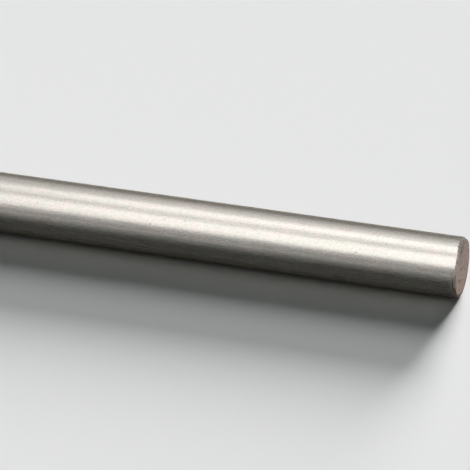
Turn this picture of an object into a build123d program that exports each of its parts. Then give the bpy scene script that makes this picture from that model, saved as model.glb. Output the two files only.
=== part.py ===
from build123d import *
import os

# Cold-drawn round steel bar: one solid piece of stock, sawn square at both ends, with the
# sharp rim of each end rounded off.
# All sizes are in millimetres.
# Frame: the bar lies on its side with +X along it and +Z up, and the origin is on the
# bar's axis, halfway between the two end faces.

# Driving dimensions
diameter = 19.05  # 3/4 in bar
length = 304.8  # 12 in, from end face to end face
rim_radius = 0.6  # rounding that takes the sharp rim off each end

radius = diameter / 2


def half_section():
    """Half of the section along the bar, above its axis, with both outer corners rounded."""
    with BuildSketch(Plane.XZ) as section:
        Rectangle(length, radius, align=(Align.CENTER, Align.MIN))
        outer_corners = section.vertices().group_by(Axis.Y)[-1]
        fillet(outer_corners, rim_radius)
    return section.sketch


def round_bar():
    """The bar: its half section turned once about the axis, so each rounding is tangent to
    the flat end face and to the straight outside wall."""
    with BuildPart() as bar:
        add(half_section())
        revolve(axis=Axis.X)
    return bar.part


os.makedirs("parts", exist_ok=True)
export_step(round_bar(), "parts/round_bar.step")
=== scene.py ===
import math

import bpy
from mathutils import Matrix, Vector, noise


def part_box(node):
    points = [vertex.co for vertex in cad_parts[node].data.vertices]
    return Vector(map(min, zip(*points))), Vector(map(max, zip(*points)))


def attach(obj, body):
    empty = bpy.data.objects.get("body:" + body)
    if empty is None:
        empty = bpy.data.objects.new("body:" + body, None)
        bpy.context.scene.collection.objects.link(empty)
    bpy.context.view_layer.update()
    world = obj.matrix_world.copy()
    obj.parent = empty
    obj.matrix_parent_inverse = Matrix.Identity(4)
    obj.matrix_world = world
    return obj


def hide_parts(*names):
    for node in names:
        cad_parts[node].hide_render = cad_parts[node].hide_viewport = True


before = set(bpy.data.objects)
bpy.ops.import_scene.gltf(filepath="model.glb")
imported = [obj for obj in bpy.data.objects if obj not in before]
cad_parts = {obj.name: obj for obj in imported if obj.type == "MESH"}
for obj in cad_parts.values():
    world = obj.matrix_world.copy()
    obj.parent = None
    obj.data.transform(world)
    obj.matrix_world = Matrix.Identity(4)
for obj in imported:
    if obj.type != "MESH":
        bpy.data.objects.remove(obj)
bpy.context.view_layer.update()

MM = 0.001

# ---------------------------------------------------------------- sizes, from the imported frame
LOW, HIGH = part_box("round_bar")
RADIUS = min(HIGH.y - LOW.y, HIGH.z - LOW.z) / 2
HALF_LENGTH = (HIGH.x - LOW.x) / 2
AXIS_Y = (HIGH.y + LOW.y) / 2
AXIS_Z = (HIGH.z + LOW.z) / 2
FLOOR_Z = AXIS_Z - RADIUS

# ---------------------------------------------------------------- fine sizes, not in the frame
RIM = 0.6 * MM  # mean rounding of the sawn rim
RIM_LEAST, RIM_MOST = 0.35, 1.15  # how far it varies, as shares of the mean
SAWN_MOST = 0.75  # share of the rounding that the sawn metal never passes

MARK_PITCH = 0.62 * MM  # from one saw mark to the next
MARK_BOW = 9.0  # bend of the saw marks, per metre
MARK_MIDDLE = -4 * MM  # where along Y they turn back
MARK_DEPTH = 0.009 * MM
GRAIN_DEPTH = 0.006 * MM
DISH_DEPTH = 0.03 * MM

WALL_WAVE = 0.004 * MM
WALL_FADE = 12 * MM  # length at each end over which the wall runs true again

# ---------------------------------------------------------------- mesh fineness
AROUND = 256
WALL_STEPS = 36  # along half the bar
RIM_STEPS = 8
FACE_STEPS = 60  # from the middle of a face to its rim


# ---------------------------------------------------------------- the bar's surface
def wobble(angle, bumps, seed):
    """Smooth noise round the bar, about -1 to 1, that closes on itself after so many bumps."""
    full_swing = 1.8
    reach = bumps / (2 * math.pi)
    return noise.noise(Vector((math.cos(angle) * reach, math.sin(angle) * reach, seed))) * full_swing


def rim_radius(angle, end):
    """Rounding of the rim at one angle: deburred by hand, so it comes and goes round the bar."""
    slow = wobble(angle - 0.1, bumps=8, seed=35.45 * end)
    quick = wobble(angle, bumps=60, seed=7.7 * end)
    return RIM * min(max(RIM_LEAST, 1 + 0.45 * slow + 0.12 * quick), RIM_MOST)


def sawn_reach(angle, end):
    """How far the sawn metal goes over the rounding, as a share of it: a ragged edge that comes
    and goes round the bar."""
    slow = wobble(angle, bumps=8, seed=11.9 * end)
    quick = wobble(angle, bumps=90, seed=13.0 * end)
    return min(0.28 + 0.26 * slow + 0.2 * quick, SAWN_MOST)


def cloud(y, z, fine_y, fine_z, seed):
    """Smooth noise over a sawn face, about -1 to 1. fine_y and fine_z are its features a metre."""
    return noise.noise(Vector((y * fine_y, z * fine_z, seed)))


def face_depth(y, z, end):
    """How far the sawn face lies under its highest plane: bowed saw marks in a shallow dish.
    Never negative, so the face stays inside the bar's length."""
    across = z + MARK_BOW * (y - MARK_MIDDLE) ** 2 * end
    drift = 0.35 * cloud(y, z, fine_y=260, fine_z=260, seed=5.0 * end)
    strength = 0.55 + 0.45 * cloud(y, z, fine_y=190, fine_z=190, seed=11.0 * end)
    marks = 0.5 + 0.5 * math.sin(2 * math.pi * (across / MARK_PITCH + drift))
    grain = 0.5 + 0.5 * cloud(y, z, fine_y=2600, fine_z=900, seed=2.0 * end)
    dish = max(1 - (y * y + z * z) / RADIUS ** 2, 0)
    return MARK_DEPTH * strength * marks + GRAIN_DEPTH * grain + DISH_DEPTH * dish


def wall_sink(x, angle):
    """The drawn wall is a few microns out of round and out of straight, but not at its rims."""
    along, reach = x * 45, 1.3  # 45 bumps a metre, and about 8 round the bar
    slow = noise.noise(Vector((along, math.cos(angle) * reach, math.sin(angle) * reach)))
    fade = min(1, (HALF_LENGTH - abs(x)) / WALL_FADE)
    return WALL_WAVE * (1 + slow) * fade


def ring_point(zone, end, share, angle):
    """Where a ring crosses one angle: how far along the bar, and how far from its axis. share
    runs outwards: from the face's middle, from the face's edge, or from the bar's middle."""
    rim = rim_radius(angle, end)
    flat = RADIUS - rim
    y, z = math.cos(angle), math.sin(angle)
    if zone == "face":
        reach = flat * share
        return end * (HALF_LENGTH - face_depth(reach * y, reach * z, end)), reach
    if zone == "rim":
        turn = share * math.pi / 2
        drop = (rim + face_depth(flat * y, flat * z, end)) * math.cos(turn)
        return end * (HALF_LENGTH - 2 * rim + drop), flat + rim * math.sin(turn)
    x = end * share * (HALF_LENGTH - rim)
    return x, RADIUS - wall_sink(x, angle)


def all_rings():
    """The rings of the mesh in order, from the -X face's middle to the +X face's middle. Each
    is its zone, its end of the bar and its share of the zone."""
    face = [("face", k / FACE_STEPS) for k in range(1, FACE_STEPS + 1)]
    rim = [("rim", k / RIM_STEPS) for k in range(1, RIM_STEPS + 1)]
    wall = [("wall", 1 - k / WALL_STEPS) for k in range(1, WALL_STEPS)]
    left = [(zone, -1, share) for zone, share in face + rim + wall]
    right = [(zone, 1, share) for zone, share in face + rim + wall]
    return left + [("wall", 1, 0.0)] + right[::-1]


# ---------------------------------------------------------------- its bake map
# The wall is two strips, one above the other, each half the bar's length with one rim, and the
# two sawn faces are discs above them.
MAP_GAP = 0.01
STRIP_LENGTH = HALF_LENGTH - RIM + RIM * math.pi / 2
STRIP_SCALE = (1 - 2 * MAP_GAP) / STRIP_LENGTH
STRIP_HEIGHT = 2 * math.pi * RADIUS * STRIP_SCALE
DISC_SIZE = 1 - 4 * MAP_GAP - 2 * STRIP_HEIGHT


def strip_place(ring, end, turned):
    """A ring's place in its strip. turned is the share of a full turn round the bar."""
    zone, _, share = ring
    reach = share * (HALF_LENGTH - RIM)
    if zone == "rim":
        reach = STRIP_LENGTH - share * RIM * math.pi / 2
    if zone == "face":
        reach = STRIP_LENGTH
    lift = 0 if end < 0 else STRIP_HEIGHT + MAP_GAP
    return MAP_GAP + reach * STRIP_SCALE, MAP_GAP + lift + turned * STRIP_HEIGHT


def disc_place(share, end, turned):
    """A place on a sawn face's disc. share runs from its middle to its edge."""
    angle = turned * 2 * math.pi
    middle_x = MAP_GAP + DISC_SIZE / 2 + (0 if end < 0 else DISC_SIZE + MAP_GAP)
    middle_y = 1 - MAP_GAP - DISC_SIZE / 2
    radius = share * DISC_SIZE / 2
    return middle_x + radius * math.cos(angle), middle_y + radius * math.sin(angle)


# ---------------------------------------------------------------- its mesh
def bar_mesh(name, materials):
    """A fine turned mesh of the bar. Its materials are the drawn wall and the sawn ends."""
    angles = [2 * math.pi * j / AROUND for j in range(AROUND)]
    rings = all_rings()
    verts = []
    for zone, end, share in rings:
        for angle in angles:
            x, reach = ring_point(zone, end, share, angle)
            y, z = AXIS_Y + reach * math.cos(angle), AXIS_Z + reach * math.sin(angle)
            verts.append((x, y, z))

    faces, kinds, places = [], [], []
    for k, (ring, after) in enumerate(zip(rings, rings[1:])):
        end = -1 if k < len(rings) // 2 else 1
        on_face = ring[0] == after[0] == "face"
        rim_shares = [share for zone, _, share in (ring, after) if zone == "rim"]
        out = max(rim_shares) if rim_shares else 1
        here, there = k * AROUND, (k + 1) * AROUND
        for j in range(AROUND):
            turn = (j + 1) % AROUND
            faces.append((here + j, here + turn, there + turn, there + j))
            sawn = on_face or out <= sawn_reach(angles[j], end)
            kinds.append(1 if sawn else 0)
            for at, step in ((ring, j), (ring, j + 1), (after, j + 1), (after, j)):
                turned = step / AROUND
                places.append(disc_place(at[2], end, turned) if on_face
                              else strip_place(at, end, turned))
    for end, first in ((-1, 0), (1, (len(rings) - 1) * AROUND)):
        tip = len(verts)
        verts.append((end * (HALF_LENGTH - face_depth(0, 0, end)), AXIS_Y, AXIS_Z))
        for j in range(AROUND):
            pair = (j + 1, j) if end < 0 else (j, j + 1)
            faces.append((tip, first + pair[0] % AROUND, first + pair[1] % AROUND))
            kinds.append(1)
            places.append(disc_place(0, end, 0))
            places.extend(disc_place(1 / FACE_STEPS, end, step / AROUND) for step in pair)

    mesh = bpy.data.meshes.new(name)
    mesh.from_pydata(verts, [], faces)
    mesh.update()
    for material in materials:
        mesh.materials.append(material)
    mesh.polygons.foreach_set("material_index", kinds)
    mesh.polygons.foreach_set("use_smooth", [True] * len(faces))
    bake_map = mesh.uv_layers.new(name="OFBake")
    for corner, place in zip(bake_map.uv, places):
        corner.vector = place
    piece = bpy.data.objects.new(name, mesh)
    bpy.context.scene.collection.objects.link(piece)
    return piece


# ---------------------------------------------------------------- materials
COLOUR_A, COLOUR_B, COLOUR_OUT = 6, 7, 2  # the colour sockets of a Mix node


class Graph:
    """The node tree of a material or the world, with short calls for the nodes used here."""

    def __init__(self, owner):
        owner.use_nodes = True
        self.owner = owner
        self.nodes = owner.node_tree.nodes
        self.links = owner.node_tree.links
        self.coords = self.nodes.new("ShaderNodeTexCoord").outputs
        self.place = self.coords["Object"]

    def put(self, socket, value):
        """Links an output to a socket, or sets the socket to a plain value."""
        if isinstance(value, bpy.types.NodeSocket):
            self.links.new(value, socket)
        else:
            socket.default_value = value

    def stretched(self, x, y, z, shift=0.0):
        """The place on the object, times a scale on each axis and moved by shift on all three."""
        node = self.nodes.new("ShaderNodeMapping")
        node.inputs["Scale"].default_value = (x, y, z)
        node.inputs["Location"].default_value = (shift, shift, shift)
        self.links.new(self.place, node.inputs["Vector"])
        return node.outputs["Vector"]

    def noise(self, x, y, z, detail=2.0, rough=0.5, shift=0.0):
        """Soft noise, with x, y and z features per metre along the axes."""
        node = self.nodes.new("ShaderNodeTexNoise")
        node.inputs["Scale"].default_value = 1.0
        node.inputs["Detail"].default_value = detail
        node.inputs["Roughness"].default_value = rough
        self.links.new(self.stretched(x, y, z, shift), node.inputs["Vector"])
        return node.outputs["Fac"]

    def spots(self, size, keep):
        """1 inside small scattered spots, 0 elsewhere. keep is the share of cells with one."""
        cell = self.nodes.new("ShaderNodeTexVoronoi")
        cell.inputs["Scale"].default_value = 1.0
        self.links.new(self.stretched(1 / size, 1 / size, 1 / size), cell.inputs["Vector"])
        colour = self.nodes.new("ShaderNodeSeparateColor")
        self.links.new(cell.outputs["Color"], colour.inputs["Color"])
        chosen = self.math("LESS_THAN", colour.outputs["Red"], keep)
        near = self.band(cell.outputs["Distance"], 0.28, 0.12)
        return self.math("MULTIPLY", chosen, near)

    def math(self, operation, a, b=0.0, c=0.0):
        """a and b through one sum. c is only for MULTIPLY_ADD, which is a times b plus c."""
        node = self.nodes.new("ShaderNodeMath")
        node.operation = operation
        self.put(node.inputs[0], a)
        self.put(node.inputs[1], b)
        if operation == "MULTIPLY_ADD":
            self.put(node.inputs[2], c)
        return node.outputs[0]

    def total(self, start, *parts):
        """start plus each part's output times its weight."""
        for output, weight in parts:
            start = self.math("MULTIPLY_ADD", output, weight, start)
        return start

    def band(self, value, low, high, to_low=0.0, to_high=1.0):
        """Smooth step from to_low, where value is at low, to to_high, where it is at high."""
        node = self.nodes.new("ShaderNodeMapRange")
        node.interpolation_type = "SMOOTHSTEP"
        self.put(node.inputs["Value"], value)
        self.put(node.inputs["From Min"], low)
        self.put(node.inputs["From Max"], high)
        self.put(node.inputs["To Min"], to_low)
        self.put(node.inputs["To Max"], to_high)
        return node.outputs["Result"]

    def part_of(self, vector, letter):
        """One of a vector's three parts, named X, Y or Z."""
        node = self.nodes.new("ShaderNodeSeparateXYZ")
        self.links.new(vector, node.inputs["Vector"])
        return node.outputs[letter]

    def length_of(self, vector):
        node = self.nodes.new("ShaderNodeVectorMath")
        node.operation = "LENGTH"
        self.links.new(vector, node.inputs[0])
        return node.outputs["Value"]

    def reach_along(self):
        """Distance from the bar's middle, along it."""
        return self.math("ABSOLUTE", self.part_of(self.place, "X"))

    def reach_out(self):
        """Distance from the bar's axis."""
        flat = self.nodes.new("ShaderNodeVectorMath")
        flat.operation = "MULTIPLY"
        flat.inputs[1].default_value = (0, 1, 1)
        self.links.new(self.place, flat.inputs[0])
        return self.length_of(flat.outputs[0])

    def oval(self, y, z, wide, high, core, turn=0.0):
        """1 inside an oval mark on the +X face, fading to 0 at its edge. y and z are its middle
        and wide and high its half sizes, in bar radii, core is the share of them that is full
        strength, and turn leans it."""
        node = self.nodes.new("ShaderNodeMapping")
        node.vector_type = "TEXTURE"
        node.inputs["Location"].default_value = (HALF_LENGTH, y * RADIUS, z * RADIUS)
        node.inputs["Rotation"].default_value = (turn, 0, 0)
        node.inputs["Scale"].default_value = (HALF_LENGTH, wide * RADIUS, high * RADIUS)
        self.links.new(self.place, node.inputs["Vector"])
        return self.band(self.length_of(node.outputs["Vector"]), 1, core)

    def mix(self, factor, a, b):
        """Colour a where factor is 0, and b where it is 1."""
        node = self.nodes.new("ShaderNodeMix")
        node.data_type = "RGBA"
        self.put(node.inputs["Factor"], factor)
        self.put(node.inputs[COLOUR_A], a)
        self.put(node.inputs[COLOUR_B], b)
        return node.outputs[COLOUR_OUT]

    def scaled(self, colour, factor):
        node = self.nodes.new("ShaderNodeVectorMath")
        node.operation = "SCALE"
        self.put(node.inputs[0], colour)
        self.put(node.inputs["Scale"], factor)
        return node.outputs[0]


class Finish(Graph):
    """A material's graph, with its shader."""

    def __init__(self, name):
        super().__init__(bpy.data.materials.new(name))
        self.shader = self.nodes["Principled BSDF"]

    def set(self, name, value):
        self.put(self.shader.inputs[name], value)

    def bump(self, height, distance):
        node = self.nodes.new("ShaderNodeBump")
        node.inputs["Strength"].default_value = 1.0
        node.inputs["Distance"].default_value = distance
        self.put(node.inputs["Height"], height)
        self.set("Normal", node.outputs["Normal"])


WARM_STEEL = (0.430, 0.394, 0.368, 1)
COOL_STEEL = (0.404, 0.394, 0.358, 1)
STEEL_EDGE_TINT = (0.62, 0.58, 0.52, 1)
SPECK = (0.16, 0.13, 0.13, 1)
# Dark brown used on the undersides at the ends: partly grime, partly painted shade.
GRIME_AND_SHADE = (0.052, 0.038, 0.031, 1)


def drawn_steel():
    """Satin cold-drawn wall: fine streaks and grain along the bar, slight tone changes, a few
    small specks, and dark brown where the underside meets the sawn ends, partly grime and
    partly painted shade."""
    g = Finish("drawn_steel")
    grain = g.noise(1500, 2900, 2900, detail=1.0, rough=0.6, shift=7.0)
    short = g.noise(620, 2500, 2500, detail=2.0, rough=0.65)
    long = g.noise(110, 1900, 1900, detail=2.0, rough=0.6, shift=3.0)
    lines = g.noise(14, 1300, 1300, detail=1.0, shift=5.0)
    patch = g.noise(40, 80, 80, detail=2.0, shift=11.0)
    blush = g.noise(220, 400, 400, detail=1.0, shift=19.0)
    steel = g.mix(g.band(blush, 0.3, 0.7), WARM_STEEL, COOL_STEEL)
    tone = g.total(0.45, (grain, 0.42), (short, 0.3), (long, 0.2), (lines, 0.12), (patch, 0.06))
    colour = g.scaled(steel, tone)
    specks = g.spots(2.2 * MM, keep=0.05)
    colour = g.mix(g.math("MULTIPLY", specks, 0.3), colour, SPECK)

    # Painted shade, partly real grime: darkens the wall's underside near each end.
    near_end = g.band(g.reach_along(), HALF_LENGTH - 2.0 * MM, HALF_LENGTH - 0.7 * MM)
    ragged = g.band(g.noise(500, 400, 400, detail=3.0, shift=2.0), 0.26, 0.44)
    underside = g.band(g.part_of(g.place, "Z"), 0.45 * RADIUS, -0.1 * RADIUS)
    grime_and_shade = g.math("MULTIPLY", g.math("MULTIPLY", ragged, near_end), underside)
    g.set("Base Color", g.mix(grime_and_shade, colour, GRIME_AND_SHADE))
    g.set("Metallic", 1.0)
    g.set("Specular Tint", STEEL_EDGE_TINT)
    g.set("Roughness", g.total(0.18, (short, 0.03), (long, 0.1), (patch, 0.05), (grime_and_shade, 0.25)))
    g.bump(g.total(short, (long, 0.6), (grain, 0.6), (lines, 0.3)), 0.01 * MM)
    return g.owner


SAWN_DARK = (0.150, 0.119, 0.100, 1)
SAWN_PALE = (0.384, 0.311, 0.262, 1)
SAWN_PINK = (0.268, 0.207, 0.200, 1)
SAWN_EDGE = (0.400, 0.372, 0.332, 1)
SAWN_EDGE_TINT = (1.0, 0.875, 0.8, 1)
STAIN = (0.118, 0.088, 0.098, 1)
DARK_SPOT = (0.110, 0.083, 0.098, 1)
SCRATCH = (0.100, 0.078, 0.074, 1)
SMUDGE = (0.105, 0.073, 0.092, 1)
SHADE = (0.120, 0.110, 0.098, 1)


def sawn_steel():
    """Sawn end: tan, dull and mottled along the saw marks, with a few small dark stains, a paler
    rim, and a dark foot to the rim on the underside, partly grime and partly painted shade. The
    +X end also has the marks that the photo shows."""
    g = Finish("sawn_steel")
    mottle = g.noise(900, 520, 1100, detail=3.0, rough=0.6)
    blush = g.noise(300, 170, 260, detail=1.0, shift=17.0)
    stain = g.noise(900, 760, 1050, detail=2.0, shift=5.0)
    lines = g.noise(900, 240, 4200, detail=2.0, shift=9.0)
    grit = g.noise(2300, 1500, 2300, detail=1.0, shift=23.0)
    out = g.reach_out()
    height = g.part_of(g.place, "Z")

    colour = g.mix(g.band(mottle, 0.34, 0.66), SAWN_DARK, SAWN_PALE)
    colour = g.mix(g.math("MULTIPLY", g.band(blush, 0.42, 0.62), 0.5), colour, SAWN_PINK)
    near_rim = g.band(out, 0.55 * RADIUS, 0.86 * RADIUS, 0.15, 0.5)
    blotch = g.oval(-0.16, 0.76, wide=0.5, high=0.5, core=0.3)
    stained = g.band(stain, g.total(0.53, (blotch, -0.12)), 0.62)
    stained = g.math("MULTIPLY", stained, g.math("MAXIMUM", near_rim, blotch))
    colour = g.mix(stained, colour, STAIN)
    dark_spot = g.oval(-0.14, 0.02, wide=0.17, high=0.12, core=0.2)
    colour = g.mix(g.math("MULTIPLY", dark_spot, 0.9), colour, DARK_SPOT)
    scratch = g.oval(-0.37, -0.275, wide=0.3, high=0.07, core=0.3, turn=-0.45)
    colour = g.mix(scratch, colour, SCRATCH)

    edge = g.band(out, RADIUS - 0.85 * MM, RADIUS - 0.5 * MM)
    edge = g.math("MULTIPLY", edge, g.band(lines, 0.35, 0.65, 0.6, 1.0))
    colour = g.mix(edge, colour, SAWN_EDGE)
    smudge = g.oval(-0.2, 0.74, wide=0.32, high=0.32, core=0.2, turn=0.3)
    smudge = g.math("MULTIPLY", smudge, g.band(stain, 0.38, 0.56, 0.3, 0.95))
    colour = g.mix(smudge, colour, SMUDGE)
    shade = g.oval(-0.96, -0.08, wide=0.18, high=0.24, core=0.35)
    colour = g.mix(g.math("MULTIPLY", shade, 0.65), colour, SHADE)

    # Painted shade, partly real grime: a dark foot to the rim that widens downwards, on the lower
    # part only.
    grime_and_shade_width = g.band(height, 0.1 * RADIUS, -0.85 * RADIUS, 0.1 * MM, 1.2 * MM)
    inner = g.math("SUBTRACT", RADIUS, grime_and_shade_width)
    grime_and_shade = g.band(out, g.math("SUBTRACT", inner, 0.4 * MM), inner)
    grime_and_shade = g.math("MULTIPLY", grime_and_shade, g.band(height, 0.05 * RADIUS, -0.2 * RADIUS))
    colour = g.mix(grime_and_shade, colour, GRIME_AND_SHADE)
    g.set("Base Color", g.scaled(colour, g.total(0.5, (grit, 0.5), (lines, 0.5))))
    g.set("Metallic", 0.85)
    g.set("Specular Tint", SAWN_EDGE_TINT)
    g.set("Roughness", g.total(0.38, (mottle, 0.2)))
    g.bump(g.total(mottle, (lines, 0.6)), 0.012 * MM)
    return g.owner


bar = bar_mesh("bar_stock", [drawn_steel(), sawn_steel()])
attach(bar, "root")
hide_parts("round_bar")

# ---------------------------------------------------------------- floor
FLOOR_REACH = 12.0  # metres each way from the bar
FLOOR_COLOUR = (0.86, 0.86, 0.855, 1)


def pale_floor():
    """Dull, so it keeps the bar's shadow and mirrors nothing."""
    g = Finish("pale_floor")
    g.set("Base Color", FLOOR_COLOUR)
    g.set("Roughness", 0.9)
    g.set("Specular IOR Level", 0.0)
    return g.owner


floor_mesh = bpy.data.meshes.new("studio_floor")
corners = [(-FLOOR_REACH, -FLOOR_REACH), (FLOOR_REACH, -FLOOR_REACH),
           (FLOOR_REACH, FLOOR_REACH), (-FLOOR_REACH, FLOOR_REACH)]
floor_mesh.from_pydata([(x, y, FLOOR_Z) for x, y in corners], [], [(0, 1, 2, 3)])
floor_mesh.materials.append(pale_floor())
floor = bpy.data.objects.new("studio_floor", floor_mesh)
bpy.context.scene.collection.objects.link(floor)


# ---------------------------------------------------------------- light
def strip_light(name, low, high, left, right, distance, radiance):
    """A long soft box over the bar, seen only in reflections. low and high are its edges'
    heights in degrees, from 0 at the camera's side through 90 overhead to 180 behind. left and
    right are its ends along X, and radiance sets how bright it looks."""
    middle = math.radians((low + high) / 2)
    half = math.radians((high - low) / 2)
    lamp = bpy.data.lights.new(name, "AREA")
    lamp.shape = "RECTANGLE"
    lamp.size = right - left
    lamp.size_y = 2 * distance * math.tan(half)
    lamp.energy = radiance * math.pi * lamp.size * lamp.size_y
    box = bpy.data.objects.new(name, lamp)
    bpy.context.scene.collection.objects.link(box)
    at = Vector(((left + right) / 2, AXIS_Y, AXIS_Z))
    out = Vector((0, -math.cos(middle), math.sin(middle)))
    box.location = at + out * distance
    along = Vector((1, 0, 0))
    up = out.cross(along)
    box.rotation_mode = "QUATERNION"
    box.rotation_quaternion = Matrix((along, up, out)).transposed().to_quaternion()
    box.visible_camera = False
    box.visible_diffuse = False


def back_light(name, height, spread, strength):
    """A soft far light from behind the bar, height degrees up and spread degrees across. It
    lights the floor, and lays a soft shadow towards the camera."""
    sun = bpy.data.lights.new(name, "SUN")
    sun.energy = strength
    sun.angle = math.radians(spread)
    lamp = bpy.data.objects.new(name, sun)
    bpy.context.scene.collection.objects.link(lamp)
    lamp.location = Vector((0, math.cos(math.radians(height)), math.sin(math.radians(height))))
    lamp.rotation_mode = "QUATERNION"
    lamp.rotation_quaternion = (-lamp.location).to_track_quat("-Z", "Y")
    lamp.visible_glossy = False


strip_light("wide_scrim", low=5, high=146, left=-3.2, right=3.2, distance=1.7, radiance=0.52)
strip_light("overhead_scrim", low=24, high=128, left=-0.66, right=3.0, distance=1.4, radiance=0.52)
strip_light("front_strip", low=23, high=62, left=-0.54, right=2.6, distance=1.2, radiance=1.2)
strip_light("top_strip", low=82, high=108, left=-0.42, right=2.6, distance=1.2, radiance=1.25)
strip_light("far_front_strip", low=24, high=62, left=-2.8, right=-0.95, distance=1.2, radiance=1.3)
strip_light("far_top_strip", low=82, high=108, left=-2.8, right=-0.95, distance=1.2, radiance=1.4)
back_light("high_back_light", height=37, spread=24, strength=1.4)
back_light("low_back_light", height=14.5, spread=18, strength=7.25)

AIR_PALE = 0.45
AIR_DARK = 0.24
AIR_AS_FLOOR = 0.79
AIR_MEETS_FLOOR = (0.03, 0.09)  # Z of the direction, where it goes from AIR_AS_FLOOR to AIR_PALE
AIR_TURNS_PALE = (-0.95, -0.45)  # Y of the direction, where it goes from AIR_DARK to the rest
AIR_LIGHT = 0.07  # level at which it lights dull surfaces
AIR_LIGHT_COLOUR = (0.86, 1.0, 1.0, 1)
WHITE = (1.0, 1.0, 1.0, 1)


def studio_air():
    """Pale grey all round, darker at the end of the room that the camera stands in, and as pale
    as the floor where they meet. It lights the floor at a lower level than it shows."""
    g = Graph(bpy.data.worlds.new("studio_air"))
    way = g.coords["Generated"]
    path = g.nodes.new("ShaderNodeLightPath").outputs
    glossy_or_clear = g.math("MAXIMUM", path["Is Glossy Ray"], path["Is Transmission Ray"])
    seen = g.math("MAXIMUM", path["Is Camera Ray"], glossy_or_clear)
    pale = g.band(g.part_of(way, "Z"), *AIR_MEETS_FLOOR, AIR_AS_FLOOR, AIR_PALE)
    shown = g.band(g.part_of(way, "Y"), *AIR_TURNS_PALE, AIR_DARK, pale)
    air = g.nodes["Background"]
    g.put(air.inputs["Color"], g.mix(seen, AIR_LIGHT_COLOUR, WHITE))
    g.put(air.inputs["Strength"], g.band(seen, 0, 1, AIR_LIGHT, shown))
    return g.owner


bpy.context.scene.world = studio_air()

# ---------------------------------------------------------------- camera
CAMERA_HEIGHT = math.radians(26.9)  # above the horizon
CAMERA_TURN = math.radians(17.5)  # towards the sawn end, from square on to the bar
# The next four are in bar radii.
CAMERA_DISTANCE = 97.3
VIEW_WIDTH = 15.00974  # at the bar
VIEW_RIGHT = -7.267  # middle of the view, from the middle of the sawn end
VIEW_UP = 1.057

camera_data = bpy.data.cameras.new("camera")
camera_data.sensor_width = 36.0
camera_data.lens = camera_data.sensor_width * CAMERA_DISTANCE / VIEW_WIDTH
camera_data.clip_start = 0.01
camera_data.clip_end = 60
camera = bpy.data.objects.new("camera", camera_data)
bpy.context.scene.collection.objects.link(camera)
back = Vector((math.sin(CAMERA_TURN) * math.cos(CAMERA_HEIGHT),
               -math.cos(CAMERA_TURN) * math.cos(CAMERA_HEIGHT),
               math.sin(CAMERA_HEIGHT)))
right = Vector((math.cos(CAMERA_TURN), math.sin(CAMERA_TURN), 0))
up = back.cross(right)
sawn_end = Vector((HALF_LENGTH, AXIS_Y, AXIS_Z))
target = sawn_end + right * (VIEW_RIGHT * RADIUS) + up * (VIEW_UP * RADIUS)
camera.location = target + back * (CAMERA_DISTANCE * RADIUS)
camera.rotation_mode = "QUATERNION"
camera.rotation_quaternion = (-back).to_track_quat("-Z", "Y")
bpy.context.scene.camera = camera

bpy.context.scene.view_settings.view_transform = "Standard"
